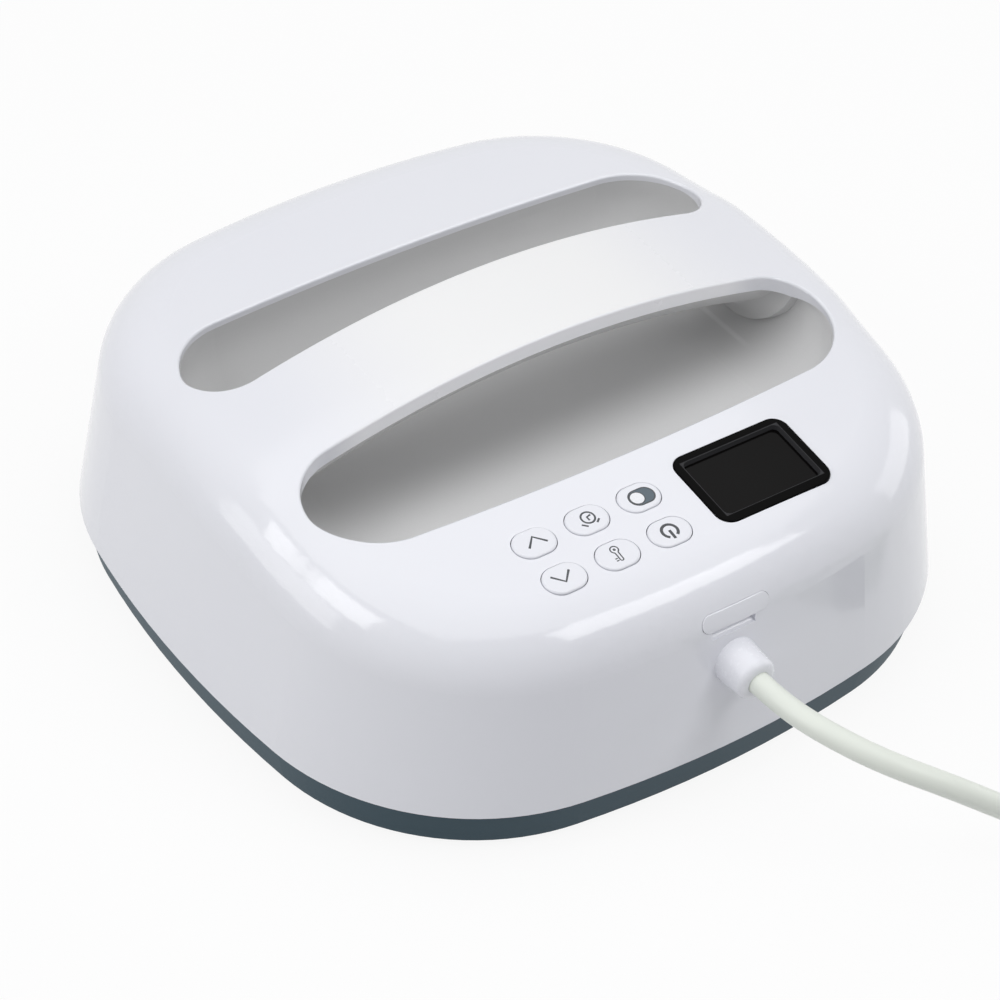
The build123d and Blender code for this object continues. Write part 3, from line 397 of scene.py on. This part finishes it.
def coilPoints(setup):
    start, before = Vector(setup["points"][-1]), Vector(setup["points"][-2])
    ahead = (start - before).normalized()
    aside = Vector((-ahead.y, ahead.x, 0))
    straight = sum((Vector(b) - Vector(a)).length for a, b in zip(setup["points"], setup["points"][1:]))
    turns = setup["length"] - straight - setup["diameter"] - setup["tail"] + setup["cornerGain"]
    steps = setup["steps"]
    widest = (turns / math.pi + sum(steps) * setup["pitch"] / 2) / len(steps)
    here, facing = start + ahead * setup["diameter"], 1
    half = setup["pointsInTurn"] // 2
    points = [here]
    spread = 1 / math.cos(math.pi / half / 2)  # control points stand a little outside the turn
    for step in steps:
        reach = widest - step * setup["pitch"] / 2
        centre = here + aside * (reach * facing)
        rise = setup["layer"] if step == setup["climb"] else 0
        for i in range(half):
            turn = math.pi * (i + 0.5) / half
            away = aside * (-facing * math.cos(turn)) + ahead * (facing * math.sin(turn))
            lift = rise * (i + 0.5) / half
            points.append(centre + away * reach * spread + Vector((0, 0, lift)))
        here = here + aside * (2 * reach * facing) + Vector((0, 0, rise))
        facing = -facing
    points.append(here)
    return points + [here + ahead * setup["tail"]]


def makeCord(setup):
    curve = bpy.data.curves.new("mainsLead", "CURVE")
    curve.dimensions = "3D"
    spline = curve.splines.new("NURBS")
    points = [Vector(p) for p in setup["points"]] + coilPoints(setup)
    spline.points.add(len(points) - 1)
    for slot, point in zip(spline.points, points):
        slot.co = (*point, 1)
    spline.order_u = 3
    spline.use_endpoint_u = True
    spline.resolution_u = setup["smoothness"]
    curve.bevel_depth = setup["diameter"] / 2
    curve.bevel_resolution = setup["roundness"]
    curve.use_fill_caps = True
    curve.materials.append(finishes["cord_white"])
    lead = bpy.data.objects.new("mainsLead", curve)
    bpy.context.collection.objects.link(lead)
    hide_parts("mains_cord", "cord_coil")
    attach(lead, "housing")


makeCord(cordRoute)
print("cord laid")


# marks on the keys: thin raised strokes on the sloping panel, sizes in millimetres before mm
panelSetup = {
    "place": (0, 0.088, 0.0843663),
    "tilt": math.atan(0.122 / 0.95),  # the crown's slope at the panel's middle
    "proud": 0.0005,
    "ink": 0.00004,
}
panelUp = Vector((0, math.sin(panelSetup["tilt"]), math.cos(panelSetup["tilt"])))
panelAlong = Vector((0, math.cos(panelSetup["tilt"]), -math.sin(panelSetup["tilt"])))


def onPanel(x, y, lift=0.0, flat=1):
    # the move from a mark's own plane to the panel
    along = (y - panelSetup["place"][1]) / math.cos(panelSetup["tilt"])
    place = Vector(panelSetup["place"]) + Vector((x, 0, 0)) + panelAlong * along
    axes = Matrix((Vector((1, 0, 0)), panelAlong, panelUp)).transposed().to_4x4()
    raised = place + panelUp * (panelSetup["proud"] + lift)
    return Matrix.Translation(raised) @ axes @ Matrix.Diagonal((1, 1, flat, 1))


def arcPoints(cx, cy, radius, start=0, end=360, count=20):
    turns = [math.radians(start + (end - start) * i / (count - 1)) for i in range(count)]
    return [(cx + radius * math.cos(t), cy + radius * math.sin(t)) for t in turns]


def slotPoints(cx, radius, reach, count=14):
    ends = arcPoints(cx + reach, 0, radius, -90, 90, count) + arcPoints(cx - reach, 0, radius, 90, 270, count)
    return ends + ends[:1]


def drawCurve(name, points, closed):
    curve = bpy.data.curves.new(name, "CURVE")
    spline = curve.splines.new("POLY")
    spline.points.add(len(points) - 1)
    for slot, (px, py) in zip(spline.points, points):
        slot.co = (px * mm, py * mm, 0, 1)
    spline.use_cyclic_u = closed
    shape = bpy.data.objects.new(name, curve)
    bpy.context.collection.objects.link(shape)
    return shape


def toMesh(shapes):
    bpy.ops.object.select_all(action="DESELECT")
    for shape in shapes:
        shape.select_set(True)
    bpy.context.view_layer.objects.active = shapes[0]
    bpy.ops.object.convert(target="MESH")
    if len(shapes) > 1:
        bpy.ops.object.join()
    return bpy.context.object


def layMark(piece, name, body, place, finish):
    piece.name = name
    piece.data.transform(place)
    piece.data.materials.clear()
    piece.data.materials.append(finish)
    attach(piece, body)


def linePiece(name, body, x, y, strokes, width, finish):
    # every stroke is a round wire made a mesh, then pressed flat on the key
    made = []
    for points in strokes:
        closed = points[0] == points[-1]
        shape = drawCurve(name, points[:-1] if closed else points, closed)
        shape.data.dimensions = "3D"
        shape.data.bevel_depth = width * mm / 2
        shape.data.bevel_resolution = 3
        shape.data.use_fill_caps = True
        made.append(shape)
    flat = panelSetup["ink"] / (width * mm / 2)
    layMark(toMesh(made), name, body, onPanel(x * mm, y * mm, flat=flat), finish)


def flatPiece(name, body, x, y, points, lift, finish):
    # a filled outline, raised by a hair so that it shows on the key
    shape = drawCurve(name, points[:-1], True)
    shape.data.dimensions = "2D"
    shape.data.fill_mode = "BOTH"
    shape.data.extrude = panelSetup["ink"] / 2
    layMark(toMesh([shape]), name, body, onPanel(x * mm, y * mm, lift), finish)


def inkFinish(name, tone):
    f = Finish(name)
    wear = f.noise(scale=1500, detail=3, rough=0.6)
    worn = [min(1, c * 1.25) for c in colour(tone)]
    return f.set(Base_Color=f.blend(wear, colour(tone), worn), Roughness=wear * 0.1 + 0.4)


inkGrey = inkFinish("inkGrey", "3A3D41")
inkSlate = inkFinish("inkSlate", "4C5962")
inkWhite = inkFinish("inkWhite", "E4E5EA")

keyMarks = {
    "stroke": 0.78,
    "columns": (46.9, 26.9, 6.9),
    "rows": (79.6, 95.8),
}

chevrons = {
    "shift": 0.55,  # each stands off its key's middle, its own way
    "down": [(-3.4, 1.6), (0, -2.1), (3.4, 1.6)],
    "up": [(-3.4, -2.0), (0, 1.7), (3.4, -2.0)],
}


def makeChevrons(marks, setup):
    left, (near, far) = marks["columns"][0], marks["rows"]
    linePiece("markDown", "body_down", left - setup["shift"], near, [setup["down"]], marks["stroke"], inkGrey)
    linePiece("markUp", "body_up", left + setup["shift"], far, [setup["up"]], marks["stroke"], inkGrey)


clock = {
    "middle": (-0.55, -0.43),
    "radius": 2.3,
    "hands": [(-1.4, -0.7), (0.2, -0.3), (0.1, 1.2)],  # this and the feet from the middle
    "feet": ([(3.5, 1.7), (1.85, 3.15)], [(-3.0, 1.9), (-1.55, 3.0)]),
    "stroke": 0.85,  # of the common stroke, as for the other marks
}


def makeClock(marks, setup):
    cx, cy = setup["middle"]
    lines = [[(cx + px, cy + py) for px, py in line] for line in (setup["hands"], *setup["feet"])]
    strokes = [arcPoints(cx, cy, setup["radius"])] + lines
    width = marks["stroke"] * setup["stroke"]
    linePiece("markTimer", "body_timer", marks["columns"][1], marks["rows"][0], strokes, width, inkGrey)


thermometer = {
    "bulbPlace": -2.1,
    "bulbRadius": 1.35,
    "bulbOpen": (116, 424),
    "dotRadius": 0.3,
    "stem": ([(-0.58, -0.9), (-0.5, 2.1)], [(0.58, -0.9), (0.65, 2.1)]),
    "tip": (0.07, 2.1, 0.58),
    "ticks": ([(1.1, 1.3), (2.0, 1.3)], [(1.1, 2.2), (2.0, 2.2)]),
    "rise": 0.2,
    "stroke": 0.58,
}


def makeThermometer(marks, setup):
    bulb = arcPoints(0, setup["bulbPlace"], setup["bulbRadius"], *setup["bulbOpen"])
    dot = arcPoints(0, setup["bulbPlace"], setup["dotRadius"], count=12)
    tip = arcPoints(*setup["tip"], start=0, end=180, count=8)
    strokes = [bulb, *setup["stem"], tip, dot, *setup["ticks"]]
    place = marks["columns"][1], marks["rows"][1] + setup["rise"]
    linePiece("markHeat", "body_heat", *place, strokes, marks["stroke"] * setup["stroke"], inkGrey)


powerSign = {
    "radius": 2.65,
    "open": (122, 418),
    "bar": [(0, -0.3), (0.1, 3.35)],
    "stroke": 1.3,
}


def makePowerSign(marks, setup):
    strokes = [arcPoints(0, 0, setup["radius"], *setup["open"]), setup["bar"]]
    place = marks["columns"][2], marks["rows"][1]
    linePiece("markPower", "body_power", *place, strokes, marks["stroke"] * setup["stroke"], inkGrey)


switchSign = {
    "middle": -0.77,
    "radius": 3.1,
    "reach": 1.4,
    "knobRadius": 2.3,
    "knobShift": 0.3,
    "ringGap": 0.15,
    "rise": 0.25,
    "points": 28,
    "stroke": 0.7,
}


def makeSwitchSign(marks, setup):
    place = marks["columns"][2], marks["rows"][0] + setup["rise"]
    outline = slotPoints(setup["middle"], setup["radius"], setup["reach"])
    knobX = setup["middle"] + setup["reach"] + setup["knobShift"]
    knob = arcPoints(knobX, 0, setup["knobRadius"], count=setup["points"])
    ring = arcPoints(knobX, 0, setup["knobRadius"] + setup["ringGap"], count=setup["points"])
    width = marks["stroke"] * setup["stroke"]
    flatPiece("markModeField", "body_mode", *place, outline, 0, inkSlate)
    flatPiece("markModeKnob", "body_mode", *place, knob, panelSetup["ink"], inkWhite)
    linePiece("markModeEdge", "body_mode", *place, [outline], width, inkGrey)
    linePiece("markModeRing", "body_mode", *place, [ring], width, inkGrey)


makeChevrons(keyMarks, chevrons)
makeClock(keyMarks, clock)
makeThermometer(keyMarks, thermometer)
makePowerSign(keyMarks, powerSign)
makeSwitchSign(keyMarks, switchSign)
print("marks on keys")


# floor and light
studio = {
    "floorSize": 14,
    "floorTone": "D2D2D2",
    "floorGlow": 0.88,  # how far the floor shows as plain white; the rest keeps the shadow
    "glowLevel": 1.03,
    "sky": (0.96, 0.97, 1.0, 1),
    "skyLevel": 0.3,
    "aim": (0, 0, 0.04),
}


def makeFloor(setup):
    bpy.ops.mesh.primitive_plane_add(size=setup["floorSize"], location=(0, 0, 0))
    floor = bpy.context.object
    floor.name = "floor"
    f = Finish("floorPale")
    f.set(Base_Color=colour(setup["floorTone"]), Roughness=0.9)
    glow = f.add("Emission", {}, {"Color": (1, 1, 1, 1), "Strength": setup["glowLevel"]})
    plain = Wire(f, f.shader.outputs[0])
    mixed = f.add("MixShader", {}, {0: f.seen() * setup["floorGlow"], 1: plain, 2: glow})
    f.plug(f.tree.nodes["Material Output"].inputs["Surface"], mixed)
    floor.data.materials.append(f.material)


class Sky(Finish):
    def __init__(self, name):
        self.world = bpy.data.worlds.new(name)
        self.world.use_nodes = True
        self.tree = self.world.node_tree


def makeWorld(setup):
    sky = Sky("studio")
    plain = sky.add("Background", {}, {"Color": setup["sky"], "Strength": setup["skyLevel"]})
    white = sky.add("Background", {}, {"Color": (1, 1, 1, 1), "Strength": 1.0})
    mixed = sky.add("MixShader", {}, {0: sky.seen(), 1: plain, 2: white})
    sky.plug(sky.tree.nodes["World Output"].inputs["Surface"], mixed)
    bpy.context.scene.world = sky.world


softboxes = {
    "overhead": {"place": (-0.05, 0.0, 1.5), "size": (2.0, 2.0), "power": 13.6},
    "leftSide": {"place": (1.23, -0.12, 1.055), "size": (0.8, 0.6), "power": 5},
    "cordSide": {"place": (-0.576, 0.97, 1.147), "size": (0.75, 0.42), "power": 3.6},
    "leftLow": {"place": (1.5, -0.5, 0.45), "size": (0.9, 0.7), "power": 3},
    "rightLow": {"place": (-1.5, 0.3, 0.4), "size": (0.9, 0.7), "power": 2.4},
}


def makeSoftbox(name, setup, target):
    bpy.ops.object.light_add(type="AREA", location=setup["place"])
    lamp = bpy.context.object
    lamp.name = name
    lamp.data.shape = "RECTANGLE"
    lamp.data.size, lamp.data.size_y = setup["size"]
    lamp.data.energy = setup["power"]
    aim = Vector(target) - Vector(setup["place"])
    lamp.rotation_euler = aim.to_track_quat("-Z", "Y").to_euler()


makeFloor(studio)
makeWorld(studio)
for name, setup in softboxes.items():
    makeSoftbox(name, setup, studio["aim"])
bpy.context.scene.view_settings.view_transform = "Standard"
print("light set")
